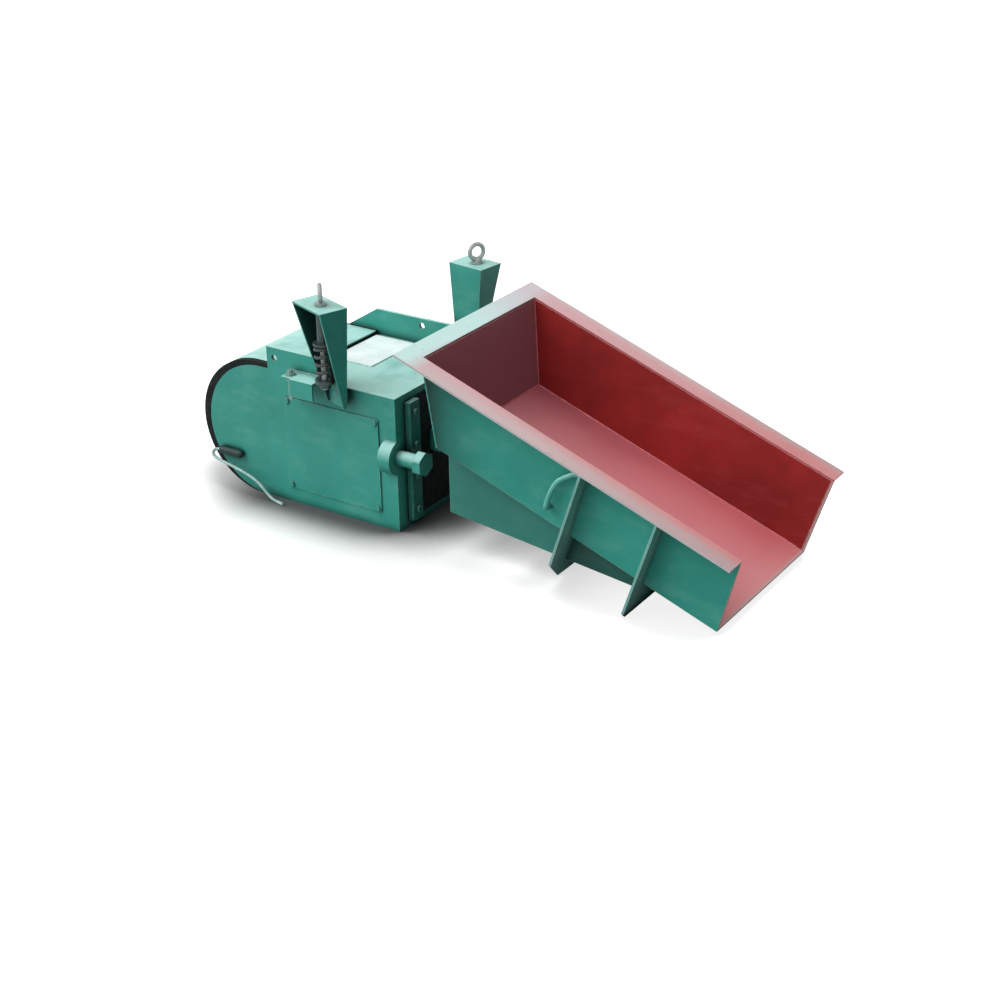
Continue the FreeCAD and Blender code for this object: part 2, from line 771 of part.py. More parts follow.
def centre_clamps():
    """Plates behind the two packs, bolted through the leaves to the fork's cross plate."""
    x = (pack_rear_x - centre_clamp, pack_rear_x)
    half_y = centre_clamp_width / 2
    plates = [box(x, (-half_y, half_y), (low, low + leaf_height)) for low in pack_low.values()]
    return group([plate.cut(group(centre_holes(x))) for plate in plates])


def centre_bolts():
    """Bolts through the centre clamps, the leaves and the fork's cross plate."""
    length = cross_x[1] - pack_rear_x + centre_clamp + 2 * centre_bolt_r * head_height_ratio + 4
    return group([hex_bolt(centre_bolt_r, length, V(pack_rear_x - centre_clamp, y, z), V(-1, 0, 0))
                  for y, z in centre_bolt_points])


def centre_nuts():
    """Nuts of those bolts on the cross plate."""
    return group([hex_nut(centre_bolt_r, V(cross_x[1], y, z), X_AXIS) for y, z in centre_bolt_points])


def mount_bolts():
    """Bolts from the fork's flange through the trough's mounting plate."""
    length = fork_flange + mounting_plate + 2 * mount_bolt_r * head_height_ratio + 4
    return group([hex_bolt(mount_bolt_r, length, V(fork_front_x - fork_flange, y, z), V(-1, 0, 0))
                  for y, z in mount_bolt_points])


def mount_nuts():
    """Nuts of those bolts in front of the mounting plate."""
    face = mounting_x + mounting_plate
    return group([hex_nut(mount_bolt_r, V(face, y, z), X_AXIS) for y, z in mount_bolt_points])


def armature():
    """Soft iron block on the rear end of the fork."""
    return box((fork_rear_x - armature_thickness, fork_rear_x), (-armature_width / 2, armature_width / 2),
               (drive_height - armature_height / 2, drive_height + armature_height / 2))


core_face_x = fork_rear_x - armature_thickness - air_gap
core_rear_x = core_face_x - core_depth
core_bolt_points = [(sy * core_bolt_y, drive_height + sz * core_bolt_z)
                    for sy in (-1, 1) for sz in (-1, 1)]


def iron_core():
    """E-shaped stack of core plates facing the armature."""
    half_z = armature_height / 2
    half_y = core_width / 2
    block = box((core_rear_x, core_face_x), (-half_y, half_y), (drive_height - half_z, drive_height + half_z))
    low, high = core_centre_leg / 2, half_z - core_leg
    for z in ((drive_height - high, drive_height - low), (drive_height + low, drive_height + high)):
        block = block.cut(box((core_rear_x + core_yoke, core_face_x), (-half_y, half_y), z))
    return block


def coil():
    """Wound coil around the middle leg of the core."""
    x = (core_rear_x + core_yoke, core_face_x - coil_set_back)
    inner_y, inner_z = core_width / 2 + coil_clearance, core_centre_leg / 2 + coil_clearance
    outer_y, outer_z = inner_y + coil_wall_y, armature_height / 2 - core_leg - coil_clearance
    body = box(x, (-outer_y, outer_y), (drive_height - outer_z, drive_height + outer_z))
    upright = [edge for edge in body.Edges if abs(edge.tangentAt(edge.FirstParameter).x) > 0.9]
    body = body.makeFillet(coil_wall_y / 2, upright)
    return body.cut(box(x, (-inner_y, inner_y), (drive_height - inner_z, drive_height + inner_z)))


def core_carrier():
    """Upright plate on the base that carries the core, with a foot."""
    x = (core_rear_x - carrier_plate, core_rear_x)
    half_y = carrier_width / 2
    upright = box(x, (-half_y, half_y), (base_plate, base_plate + carrier_height))
    foot = box((x[0] - carrier_foot, x[1]), (-half_y, half_y), (base_plate, base_plate + carrier_plate))
    carrier = upright.fuse(foot)
    foot_top = base_plate + carrier_plate
    rib_points = [(x[0], foot_top), (x[0] - 0.9 * carrier_foot, foot_top),
                  (x[0], base_plate + 0.77 * carrier_height)]
    for y in (-half_y + carrier_rib_in, half_y - carrier_rib_in):
        carrier = carrier.fuse(plate_xz(rib_points, (y - carrier_rib / 2, y + carrier_rib / 2)))
    carrier = carrier.removeSplitter()
    return carrier.cut(group([rod(core_bolt_r + bolt_clearance, carrier_plate, V(x[0], y, z), X_AXIS)
                              for y, z in core_bolt_points]))


def core_bolts():
    """Bolts that hold the core to its carrier."""
    rear = core_rear_x - carrier_plate
    return group([hex_bolt(core_bolt_r, carrier_plate, V(rear, y, z), V(-1, 0, 0))
                  for y, z in core_bolt_points])


# Dampers

def damper_frame(side):
    """Placement of a damper: its own x along the bracket, y outwards, origin on the rod's axis."""
    if side == NEAR:
        return V(near_damper_x, -half_width - near_damper_out, 0), near_damper_yaw
    return V(far_damper_x, half_width + far_damper_out, 0), far_damper_yaw


def placed(shape, side):
    """Turn a near-side damper piece to its place on either side."""
    moved = shape.copy()
    if side == FAR:
        moved = moved.mirror(V(0, 0, 0), Y_AXIS)
    centre, yaw = damper_frame(side)
    moved.rotate(V(0, 0, 0), Z_AXIS, yaw)
    moved.translate(centre)
    return moved


def on_rod(shape, side):
    """Move a piece that is drawn around the origin's vertical to the rod's axis."""
    moved = shape.copy()
    moved.translate(V(rod_ahead, 0, 0))
    return placed(moved, side)


def level_rectangle(x, y, z):
    """A closed rectangle at height z."""
    corners = [V(x[0], y[0], z), V(x[1], y[0], z), V(x[1], y[1], z), V(x[0], y[1], z)]
    return Part.makePolygon(corners + corners[:1])


def damper_bracket(side):
    """Box that tapers down, open outwards, with foot plates run in to the side plate."""
    inner = damper_depth / 2
    half_top = (near_damper_length if side == NEAR else far_damper_length) / 2
    half_low = half_top * damper_low_ratio
    wall = damper_plate
    upper = level_rectangle((-half_top, half_top), (-inner, inner), damper_top)
    lower = level_rectangle((-half_low, half_low), (inner - damper_toe, inner), damper_bottom)
    outside = Part.makeLoft([upper, lower], True, True)
    hollow_y = (-REACH, inner - wall)
    upper = level_rectangle((wall - half_top, half_top - wall), hollow_y, damper_top - wall)
    lower = level_rectangle((wall - half_low, half_low - wall), hollow_y, damper_bottom)
    bracket = outside.cut(Part.makeLoft([upper, lower], True, True))
    bracket = bracket.cut(rod(rod_r + rod_hole_clearance, wall, V(rod_ahead, 0, damper_top - wall)))
    for x in (-half_low, half_low - wall - damper_foot_in):
        foot = box((x, x + wall), (inner - wall, REACH), (damper_bottom, damper_bottom + damper_run_in))
        bracket = bracket.fuse(foot)
    bracket = placed(bracket.removeSplitter(), side)
    return bracket.cut(box((-REACH, REACH), mirrored(side, -2 * REACH, half_width), (-REACH, REACH)))


def hanger_rod(side):
    """Rod with a forged eye above and a collar that rests on the bracket."""
    eye_z = damper_top + collar_height + eye_outer_r - eye_sink
    low = seat_level - rod_nut_height - rod_tail
    shaft = rod(rod_r, damper_top + collar_height - low, V(0, 0, low))
    eye = Part.makeTorus(eye_outer_r - eye_wire_r, eye_wire_r, V(0, 0, eye_z), X_AXIS)
    collar = rod(collar_r, collar_height, V(0, 0, damper_top + seat_gap))
    neck_base = V(0, 0, damper_top + seat_gap + collar_height)
    neck = Part.makeCone(collar_r * 0.7, eye_wire_r, neck_height, neck_base)
    piece = shaft.fuse([collar, neck, eye]).removeSplitter()
    turn = near_eye_turn if side == NEAR else far_eye_turn
    piece.rotate(V(0, 0, 0), Z_AXIS, turn)
    return on_rod(piece, side)


def spring_seat(side):
    """Cup washer under the coil spring."""
    ring = rod(seat_r, seat_height, V(0, 0, seat_level))
    ring = ring.cut(rod(rod_r + thread_clearance, seat_height, V(0, 0, seat_level)))
    return on_rod(ring, side)


def spring_sleeve(side):
    """Tube under the bracket's top with a flange that the spring pushes against."""
    low = seat_level + seat_height + spring_length
    tube = rod(sleeve_r, damper_top - damper_plate - low, V(0, 0, low))
    flange = rod(seat_r, damper_plate, V(0, 0, low))
    bore = rod(rod_r + rod_hole_clearance, damper_top, V(0, 0, low))
    return on_rod(tube.fuse(flange).removeSplitter().cut(bore), side)


def rod_nut(side):
    """Nut under the spring seat."""
    nut = hexagon(rod_nut_across, rod_nut_height, V(0, 0, seat_level - rod_nut_height))
    nut = nut.cut(rod(rod_r + thread_clearance, rod_nut_height, V(0, 0, seat_level - rod_nut_height)))
    return on_rod(nut, side)


def damper_spring(side):
    """Coil spring between the seat and the sleeve's flange."""
    low = seat_level + seat_height + seat_gap
    height = spring_length - 2 * seat_gap - 2 * spring_wire_r
    pitch = height / spring_turns
    helix = Part.makeHelix(pitch, height, spring_mean_r)
    profile = Part.Wire(Part.makeCircle(spring_wire_r, V(spring_mean_r, 0, 0), Y_AXIS))
    spring = Part.Wire(helix).makePipeShell([profile], True, True)
    spring.translate(V(0, 0, low + spring_wire_r))
    return on_rod(spring, side)


def ledge_x(side):
    """The (low, high) pair of the ledge's length."""
    high_x = near_damper_x - near_ledge_back if side == NEAR else far_damper_x - far_ledge_back
    return high_x - ledge_length, high_x


def damper_ledge(side):
    """Folded ledge on the side plate behind the damper, with a lug for its stud."""
    x = ledge_x(side)
    y = mirrored(side, half_width, half_width + ledge_depth)
    z = (ledge_level, ledge_level + ledge_height)
    inner_y = mirrored(side, half_width, half_width + ledge_depth - ledge_wall)
    ledge = box(x, y, z).cut(box(x, inner_y, (z[0], z[1] - ledge_wall)))
    lug_y = mirrored(side, half_width, half_width + ledge_depth - ledge_wall)
    lug = box((x[0] - ledge_lug, x[0]), lug_y, (z[1] - ledge_wall, z[1]))
    ledge = ledge.fuse(lug).removeSplitter()
    return ledge.cut(rod(ledge_stud_r + thread_clearance, REACH, stud_place(side, 0)))


def stud_place(side, z):
    """A point on the stud's axis."""
    return V(ledge_x(side)[0] - ledge_lug / 2, side * (half_width + ledge_stud_out), z)


def ledge_stud(side):
    """Threaded stud through the ledge's lug, with a nut above and below it."""
    top = ledge_level + ledge_height
    nut, across = 2 * ledge_stud_r * head_height_ratio, 2 * ledge_stud_r * head_across_ratio
    stud = rod(ledge_stud_r, ledge_stud_length, stud_place(side, top + ledge_stud_above - ledge_stud_length))
    upper = hexagon(across, nut, stud_place(side, top))
    lower = hexagon(across, nut, stud_place(side, top - ledge_wall - nut))
    return stud.fuse([upper, lower])


# Cable outlet and lead

gland_x = round_centre_x - housing_r + gland_in
gland_y = -half_width - gland_r


def cable_gland():
    """Outlet tube on the near side plate, pointing back, with a closed round end."""
    start = gland_x - gland_length
    tube = rod(gland_r, gland_length, V(start, gland_y, gland_height), X_AXIS)
    cap = Part.makeSphere(gland_r, V(gland_x, gland_y, gland_height))
    saddle = box((gland_x - gland_saddle, gland_x), (gland_y, -half_width),
                 (gland_height - gland_r * 0.7, gland_height + gland_r * 0.7))
    bore = rod(cable_r + cable_clearance, gland_length - gland_bore_left,
               V(start, gland_y, gland_height), X_AXIS)
    return tube.fuse([cap, saddle]).removeSplitter().cut(bore)


cable_route = [
    (-549.0, -271.0, 143.0),
    (-568.0, -271.5, 142.0),
    (-584.0, -275.0, 134.0),
    (-588.0, -279.0, 120.0),
    (-575.0, -281.5, 109.0),
    (-552.0, -283.0, 103.0),
    (-500.0, -285.0, 95.0),
    (-440.0, -287.0, 84.0),
    (-390.0, -289.0, 71.0),
    (-350.0, -291.0, 52.0),
    (-318.0, -294.0, 27.0),
    (-290.0, -298.0, 9.5),
    (-260.0, -303.0, 5.8),
    (-228.0, -308.0, 5.8),
]


def supply_lead():
    """Short lead from the outlet tube to the floor beside the housing."""
    path, radii = rounded_path(cable_route)
    first = V(*cable_route[1]) - V(*cable_route[0])
    profile = Part.Wire(Part.makeCircle(cable_r, V(*cable_route[0]), first))
    tube = path.makePipeShell([profile], True, False)
    print("lead length", round(path.Length, 1), "volume ratio",
          round(tube.Volume / (math.pi * cable_r ** 2 * path.Length), 4))
    print("lead radii", [round(r, 1) for r in radii])
    return tube


def all_pieces():
    """Every node of the feeder by name."""
    pieces = {
        "trough_pan": trough_pan(), "trough_back": trough_back(), "rim_back": rim_back(),
        "rib_rear": rib(rear_rib_u), "rib_front": rib(front_rib_u),
        "trough_mounting_plate": trough_mounting_plate(),
        "rear_hood": rear_hood(), "housing_base": base(), "top_plate": top_plate(),
        "access_plate": access_plate(), "front_plate": front_plate(), "front_diaphragm": diaphragm(),
        "clamp_bars": both(clamp_bar), "clamp_bar_bolts": clamp_bar_bolts(),
        "inspection_covers": both(inspection_cover), "cover_bolts": cover_bolts(),
        "spring_abutments": both(abutment_block), "spring_clamps": both(clamp_block_solid),
        "jack_bolts": both(jack_bolt), "hood_seals": both(hood_seal),
        "spring_sleeves": both(spring_sleeve), "ledge_studs": both(ledge_stud),
        "end_spacers": end_spacers(), "middle_spacers": middle_spacers(),
        "connecting_fork": fork(), "centre_clamps": centre_clamps(), "centre_bolts": centre_bolts(),
        "centre_nuts": centre_nuts(), "mounting_bolts": mount_bolts(), "mounting_nuts": mount_nuts(),
        "armature": armature(), "iron_core": iron_core(), "coil": coil(),
        "core_carrier": core_carrier(), "core_bolts": core_bolts(),
        "cable_gland": cable_gland(), "supply_lead": supply_lead(),
    }
    for name in pack_low:
        pieces["leaf_springs_" + name] = leaf_pack(name)
    near_skirt, far_skirt = skirt_parts(NEAR), skirt_parts(FAR)
    for i, word in enumerate(("rear", "front")):
        pieces["skirts_" + word] = group([near_skirt[i], far_skirt[i]])
    for word, side in SIDES:
        pieces["rim_" + word] = rim_side(side)
        pieces["lifting_loop_" + word] = lifting_loop(side)
        pieces["housing_side_" + word] = side_housing_plate(side)
        pieces["damper_bracket_" + word] = damper_bracket(side)
        pieces["hanger_rod_" + word] = hanger_rod(side)
        pieces["damper_spring_" + word] = damper_spring(side)
        pieces["spring_seat_" + word] = spring_seat(side)
        pieces["rod_nut_" + word] = rod_nut(side)
        pieces["damper_ledge_" + word] = damper_ledge(side)
    return pieces


def main():
    os.makedirs("parts", exist_ok=True)
    for name, shape in all_pieces().items():
        shape.exportStep(os.path.join("parts", name + ".step"))
        print(name, "solids", len(shape.Solids), "valid", shape.isValid(), "volume", round(shape.Volume))


main()
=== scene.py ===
"""Dresses the linear vibratory feeder and lights it. Metres, in the part's own frame."""

import json
import math

import bmesh
import bpy
from mathutils import Matrix, Vector, noise


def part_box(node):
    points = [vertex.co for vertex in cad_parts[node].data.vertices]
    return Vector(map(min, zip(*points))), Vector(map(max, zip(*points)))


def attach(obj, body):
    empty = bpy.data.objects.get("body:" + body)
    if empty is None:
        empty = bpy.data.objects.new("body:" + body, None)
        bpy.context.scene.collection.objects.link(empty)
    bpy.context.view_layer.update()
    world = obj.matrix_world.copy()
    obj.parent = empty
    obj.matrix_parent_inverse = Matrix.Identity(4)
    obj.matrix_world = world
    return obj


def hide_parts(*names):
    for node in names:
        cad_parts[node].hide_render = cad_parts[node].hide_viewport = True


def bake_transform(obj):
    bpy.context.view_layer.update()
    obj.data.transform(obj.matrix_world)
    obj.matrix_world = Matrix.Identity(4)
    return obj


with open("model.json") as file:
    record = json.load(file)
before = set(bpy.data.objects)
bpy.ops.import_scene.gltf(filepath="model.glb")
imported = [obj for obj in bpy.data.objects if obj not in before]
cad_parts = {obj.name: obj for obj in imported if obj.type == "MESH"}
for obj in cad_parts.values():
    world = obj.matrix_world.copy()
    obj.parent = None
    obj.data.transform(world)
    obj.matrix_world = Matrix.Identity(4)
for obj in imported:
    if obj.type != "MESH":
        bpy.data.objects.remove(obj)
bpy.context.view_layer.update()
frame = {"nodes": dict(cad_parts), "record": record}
nodes = frame["nodes"]

SIDES = (("near", -1), ("far", 1))


def in_scene(name, data):
    """A new object, linked to the scene."""
    thing = bpy.data.objects.new(name, data)
    bpy.context.scene.collection.objects.link(thing)
    return thing


# Camera

def aim_camera(location, azimuth, elevation, roll, lens):
    """A camera that looks along azimuth (0 is +Y) and down by elevation, in degrees."""
    az, el, turn = math.radians(azimuth), math.radians(elevation), math.radians(roll)
    ahead = Vector((-math.sin(az) * math.cos(el), math.cos(az) * math.cos(el), -math.sin(el)))
    level = ahead.cross(Vector((0, 0, 1))).normalized()
    upright = level.cross(ahead)
    right = level * math.cos(turn) + upright * math.sin(turn)
    up = upright * math.cos(turn) - level * math.sin(turn)
    data = bpy.data.cameras.new("camera")
    data.lens = lens
    data.sensor_width = 36.0
    data.clip_end = 100.0
    camera = in_scene("camera", data)
    rotation = Matrix((right, up, -ahead)).transposed().to_4x4()
    camera.matrix_world = Matrix.Translation(location) @ rotation
    bpy.context.scene.camera = camera


aim_camera(location=(3.9107, -5.0482, 3.0160), azimuth=33.70497, elevation=25.73118,
           roll=-0.93752, lens=66.59)


# Node trees

class Nodes:
    """Short names for building a node tree."""

    def __init__(self, tree):
        self.tree = tree

    def add(self, kind, **settings):
        node = self.tree.nodes.new(kind)
        for key, value in settings.items():
            setattr(node, key, value)
        return node

    def feed(self, socket, value):
        """Sets a socket to a value, or links it to another node's output."""
        if isinstance(value, bpy.types.NodeSocket):
            self.tree.links.new(value, socket)
        else:
            socket.default_value = value

    def math(self, operation, a, b=0.0, clamp=False):
        node = self.add("ShaderNodeMath", operation=operation, use_clamp=clamp)
        self.feed(node.inputs[0], a)
        self.feed(node.inputs[1], b)
        return node.outputs[0]

    def times(self, a, b):
        return self.math("MULTIPLY", a, b)

    def dot(self, a, b):
        node = self.add("ShaderNodeVectorMath", operation="DOT_PRODUCT")
        self.feed(node.inputs[0], a)
        self.feed(node.inputs[1], b)
        return node.outputs["Value"]

    def axes(self, vector):
        """The parts of a vector, named X, Y and Z."""
        split = self.add("ShaderNodeSeparateXYZ")
        self.feed(split.inputs[0], vector)
        return split.outputs

    def coordinate(self, kind="Object"):
        return self.add("ShaderNodeTexCoord").outputs[kind]

    def geometry(self, kind):
        return self.add("ShaderNodeNewGeometry").outputs[kind]

    def ramp(self, value, low, high, kind="LINEAR", to=(0.0, 1.0)):
        """Value rescaled so that low gives 0 and high gives 1, and held between the two."""
        node = self.add("ShaderNodeMapRange", interpolation_type=kind)
        node.inputs["From Min"].default_value = low
        node.inputs["From Max"].default_value = high
        node.inputs["To Min"].default_value, node.inputs["To Max"].default_value = to
        self.feed(node.inputs["Value"], value)
        return node.outputs[0]


class Paint(Nodes):
    """The node tree of a material, with its textures, masks and layers of colour."""

    def __init__(self, name):
        self.material = bpy.data.materials.new(name)
        self.material.use_nodes = True
        super().__init__(self.material.node_tree)
        self.shader = self.tree.nodes["Principled BSDF"]

    def position(self, stretch=(1, 1, 1)):
        mapping = self.add("ShaderNodeMapping")
        mapping.inputs["Scale"].default_value = stretch
        self.feed(mapping.inputs["Vector"], self.coordinate())
        return mapping.outputs[0]

    def noise(self, scale, detail=4.0, roughness=0.55, stretch=(1, 1, 1)):
        node = self.add("ShaderNodeTexNoise")
        node.inputs["Scale"].default_value = scale
        node.inputs["Detail"].default_value = detail
        node.inputs["Roughness"].default_value = roughness
        self.feed(node.inputs["Vector"], self.position(stretch))
        return node.outputs["Fac"]

    def frayed(self, value, amount, *texture):
        """A measure with noise added, so that a border drawn along it turns out ragged."""
        return self.math("ADD", value, self.times(self.noise(*texture), amount))

    def mix(self, factor, a, b):
        node = self.add("ShaderNodeMix", data_type="RGBA")
        self.feed(node.inputs["Factor"], factor)
        colours = [s for s in node.inputs if s.type == "RGBA"]
        for socket, value in zip(colours, (a, b)):
            is_socket = isinstance(value, bpy.types.NodeSocket)
            self.feed(socket, value if is_socket else (*value, 1.0))
        return next(s for s in node.outputs if s.type == "RGBA")

    def cover(self, under, over, mask, share):
        """A colour laid over another where the mask is 1, covering it by the share."""
        return self.mix(self.times(mask, share), under, over)

    def facing(self, direction, kind="True Normal"):
        """How far the surface faces a fixed direction of the part, from -1 to 1."""
        return self.dot(self.geometry(kind), direction)

    def edges(self, radius):
        """1 on outer edges and 0 on flats, from a rounded normal."""
        bevel = self.add("ShaderNodeBevel", samples=4)
        bevel.inputs["Radius"].default_value = radius
        return self.ramp(self.dot(bevel.outputs[0], self.geometry("Normal")), 0.995, 0.90)

    def worn_edges(self, radius, scale, low, high):
        """Outer edges, broken up by noise."""
        return self.times(self.edges(radius), self.ramp(self.noise(scale, 5.0), low, high))

    def open_sky(self, reach, low, high, samples=8):
        """0 deep in corners and recesses and 1 on open faces."""
        node = self.add("ShaderNodeAmbientOcclusion", samples=samples)
        node.inputs["Distance"].default_value = reach
        return self.ramp(node.outputs["AO"], low, high)

    def bump(self, height, strength, distance):
        node = self.add("ShaderNodeBump")
        node.inputs["Strength"].default_value = strength
        node.inputs["Distance"].default_value = distance
        self.feed(node.inputs["Height"], height)
        self.feed(self.shader.inputs["Normal"], node.outputs[0])

    def finish(self, colour, roughness, metallic=0.0, specular=0.5):
        self.feed(self.shader.inputs["Base Color"], colour)
        self.feed(self.shader.inputs["Roughness"], roughness)
        self.shader.inputs["Metallic"].default_value = metallic
        self.shader.inputs["Specular IOR Level"].default_value = specular
        return self.material


# Colours

GREEN = (0.034, 0.288, 0.230)
GREEN_SHADE = (0.027, 0.245, 0.196)
# Pale green of the brush streaks, and of the painted sheen on upward faces
GREEN_STREAK_AND_SHEEN = (0.40, 0.71, 0.65)
GREEN_DUST = (0.36, 0.48, 0.49)
GREEN_WORN = (0.32, 0.52, 0.47)
GREEN_GRIME = (0.02, 0.085, 0.072)
GREEN_CORNER_SHADE = (0.006, 0.030, 0.026)
GREEN_DRIVE_SHADOW = (0.005, 0.028, 0.024)

RED = (0.315, 0.020, 0.018)
RED_SHADE = (0.200, 0.013, 0.013)
RED_DUST = (0.620, 0.155, 0.172)
# Darker red: random tone on welds, and the painted shade at the back of the trough's floor
RED_DIM = (0.400, 0.105, 0.125)
RED_BACK_LIT = (0.290, 0.100, 0.118)
RED_NEAR = (0.85, 0.36, 0.38)
RED_MOUTH = (0.72, 0.36, 0.34)
RED_LIP = (0.50, 0.39, 0.37)
RED_WORN = (0.52, 0.30, 0.30)

RIM_PINK_REAR, RIM_PINK_FRONT = (0.68, 0.45, 0.47), (0.60, 0.235, 0.230)
RIM_GREY_REAR, RIM_GREY_FRONT = (0.60, 0.50, 0.50), (0.44, 0.37, 0.38)
RIM_WASHED_NEAR, RIM_WASHED_FAR = (0.60, 0.84, 0.81), (0.68, 0.60, 0.64)
RIM_SIDE_INNER, RIM_SIDE_OUTER = (0.40, 0.10, 0.11), (0.42, 0.40, 0.40)
RIM_PATCH = (0.72, 0.34, 0.35)
RIM_FLECK = (0.20, 0.25, 0.23)
RIM_END = (0.13, 0.15, 0.14)
RIM_WORN = (0.66, 0.56, 0.57)

# Directions of the trough, which slopes down by 20 degrees to its mouth
OFF_FLOOR = (0.342, 0, 0.940)
DOWN_SLOPE = (0.9397, 0, -0.342)
TO_MOUTH = (0.9593, 0, -0.2882)
# Measured along TO_MOUTH: where the rubbed strip and the lip start, and the mouth's edge
STRIP, LIP, MOUTH = 1.43, 1.520, 1.53


# Materials

def brushed_paint_and_sheen(n, base, shade, pale):
    """Colour of brushed-on paint: broad patches and brush streaks, and a painted sheen that makes
    upward faces paler.
    """
    patches = n.ramp(n.noise(3.5, 3.0), 0.35, 0.65)
    streaks = n.ramp(n.noise(11.0, 5.0, 0.6, (0.6, 1.0, 1.3)), 0.50, 0.75)
    colour = n.cover(n.mix(patches, shade, base), pale, streaks, 0.10)
    # Painted sheen: upward faces turn paler, as if lit from above
    upward = n.ramp(n.facing((0, 0, 1), "Normal"), 0.05, 0.95)
    painted_top_sheen = n.times(upward, n.ramp(n.noise(9.0, 5.0), 0.05, 0.50))
    return n.cover(colour, pale, painted_top_sheen, 0.88)


def green_paint(name="green_paint", tint=1.0, reach=0.05, shelter=0.35, dust=0.0, wear=0.60):
    """Brushed green paint with wear on its edges, dust on it, and painted shade that darkens its
    corners and recesses.
    """
    n = Paint(name)
    tinted = [tuple(c * tint for c in colour) for colour in (GREEN, GREEN_SHADE, GREEN_STREAK_AND_SHEEN)]
    colour = brushed_paint_and_sheen(n, *tinted)
    colour = n.cover(colour, GREEN_DUST, n.ramp(n.noise(6.0, 6.0, 0.6), 0.2, 0.7), dust)
    colour = n.cover(colour, GREEN_WORN, n.worn_edges(0.004, 38.0, 0.42, 0.66), wear)
    colour = n.cover(colour, GREEN_GRIME, n.ramp(n.noise(9.0, 8.0, 0.7), 0.60, 0.78), 0.30)
    # Painted shade: darker in corners and recesses, the less open sky a point sees
    colour = n.mix(n.open_sky(reach, shelter, 0.85), GREEN_CORNER_SHADE, colour)
    relief = n.math("ADD", n.noise(180.0, 3.0), n.times(n.noise(16.0, 4.0), 2.0))
    n.bump(relief, 0.22, 0.0012)
    return n.finish(colour, n.ramp(n.noise(20.0, 4.0), -0.6, 1.9), 0.0, 0.3)


def trough_paint():
    """Red primer inside the trough and green outside, told apart by which way a face looks."""
    n = Paint("trough_paint")
    place = n.axes(n.coordinate())
    off_floor = n.ramp(n.facing(OFF_FLOOR), 0.55, 0.95)

    red = n.mix(n.ramp(n.noise(3.2, 6.0, 0.6), 0.36, 0.66), RED_SHADE, RED)
    scuffs = n.ramp(n.noise(10.0, 8.0, 0.7, (0.25, 1.0, 1.0)), 0.52, 0.78)
    red = n.cover(red, RED_DUST, scuffs, 0.14)

    # Dust on the floor, with painted shade that darkens it towards the back; paler in its near
    # half
    dust = n.mix(n.ramp(n.frayed(place["X"], 0.3, 3.0, 4.0), 0.80, 1.45), RED_DIM, RED_DUST)
    near_half = n.ramp(n.frayed(place["Y"], 0.12, 4.0, 4.0), 0.34, 0.10)
    dust = n.cover(dust, RED_NEAR, near_half, 0.60)
    red = n.cover(red, dust, off_floor, 0.88)

    # The back wall's face, in a paler, browner red that stands in for the light falling on it
    # (painted light), then the strip before the mouth and the lip
    along = n.math("GREATER_THAN", n.facing(DOWN_SLOPE), 0.5)
    red = n.mix(along, red, RED_BACK_LIT)
    to_mouth = n.frayed(n.dot(n.coordinate(), TO_MOUTH), 0.008, 70.0, 4.0)
    strip = n.times(n.ramp(to_mouth, STRIP, MOUTH), off_floor)
    red = n.cover(red, RED_MOUTH, strip, 0.30)
    red = n.cover(red, RED_LIP, n.ramp(to_mouth, LIP, LIP + 0.008), 0.70)

    # The green outside, with a painted shadow that darkens it towards the drive
    green = brushed_paint_and_sheen(n, GREEN, GREEN_SHADE, GREEN_STREAK_AND_SHEEN)
    drive_shadow = n.ramp(n.frayed(place["X"], 0.05, 7.0, 4.0), 0.84, 0.515)
    green = n.cover(green, GREEN_DRIVE_SHADOW, n.math("POWER", drive_shadow, 2.5), 0.95)

    outward = n.times(n.axes(n.geometry("True Normal"))["Y"], n.math("SIGN", place["Y"]))
    inward = n.math("LESS_THAN", outward, -0.5)
    inside = n.math("MAXIMUM", n.math("MAXIMUM", inward, along),
                    n.math("GREATER_THAN", off_floor, 0.02))
    colour = n.mix(inside, green, red)
    colour = n.cover(colour, RED_WORN, n.worn_edges(0.004, 30.0, 0.38, 0.62), 0.7)
    relief = n.math("ADD", n.noise(160.0, 3.0), n.times(n.noise(12.0, 4.0), 2.5))
    n.bump(relief, 0.20, 0.0014)
    return n.finish(colour, n.ramp(n.noise(15.0, 4.0), -0.9, 1.5), 0.0, 0.2)


def red_paint():
    """The primer inside the trough, on beads of weld."""
    n = Paint("red_paint")
    colour = n.mix(n.ramp(n.noise(24.0, 5.0), 0.32, 0.62), RED_DIM, RED_DUST)
    n.bump(n.noise(200.0, 3.0), 0.2, 0.0008)
    return n.finish(colour, n.ramp(n.noise(15.0, 4.0), -0.8, 1.6), 0.0, 0.4)


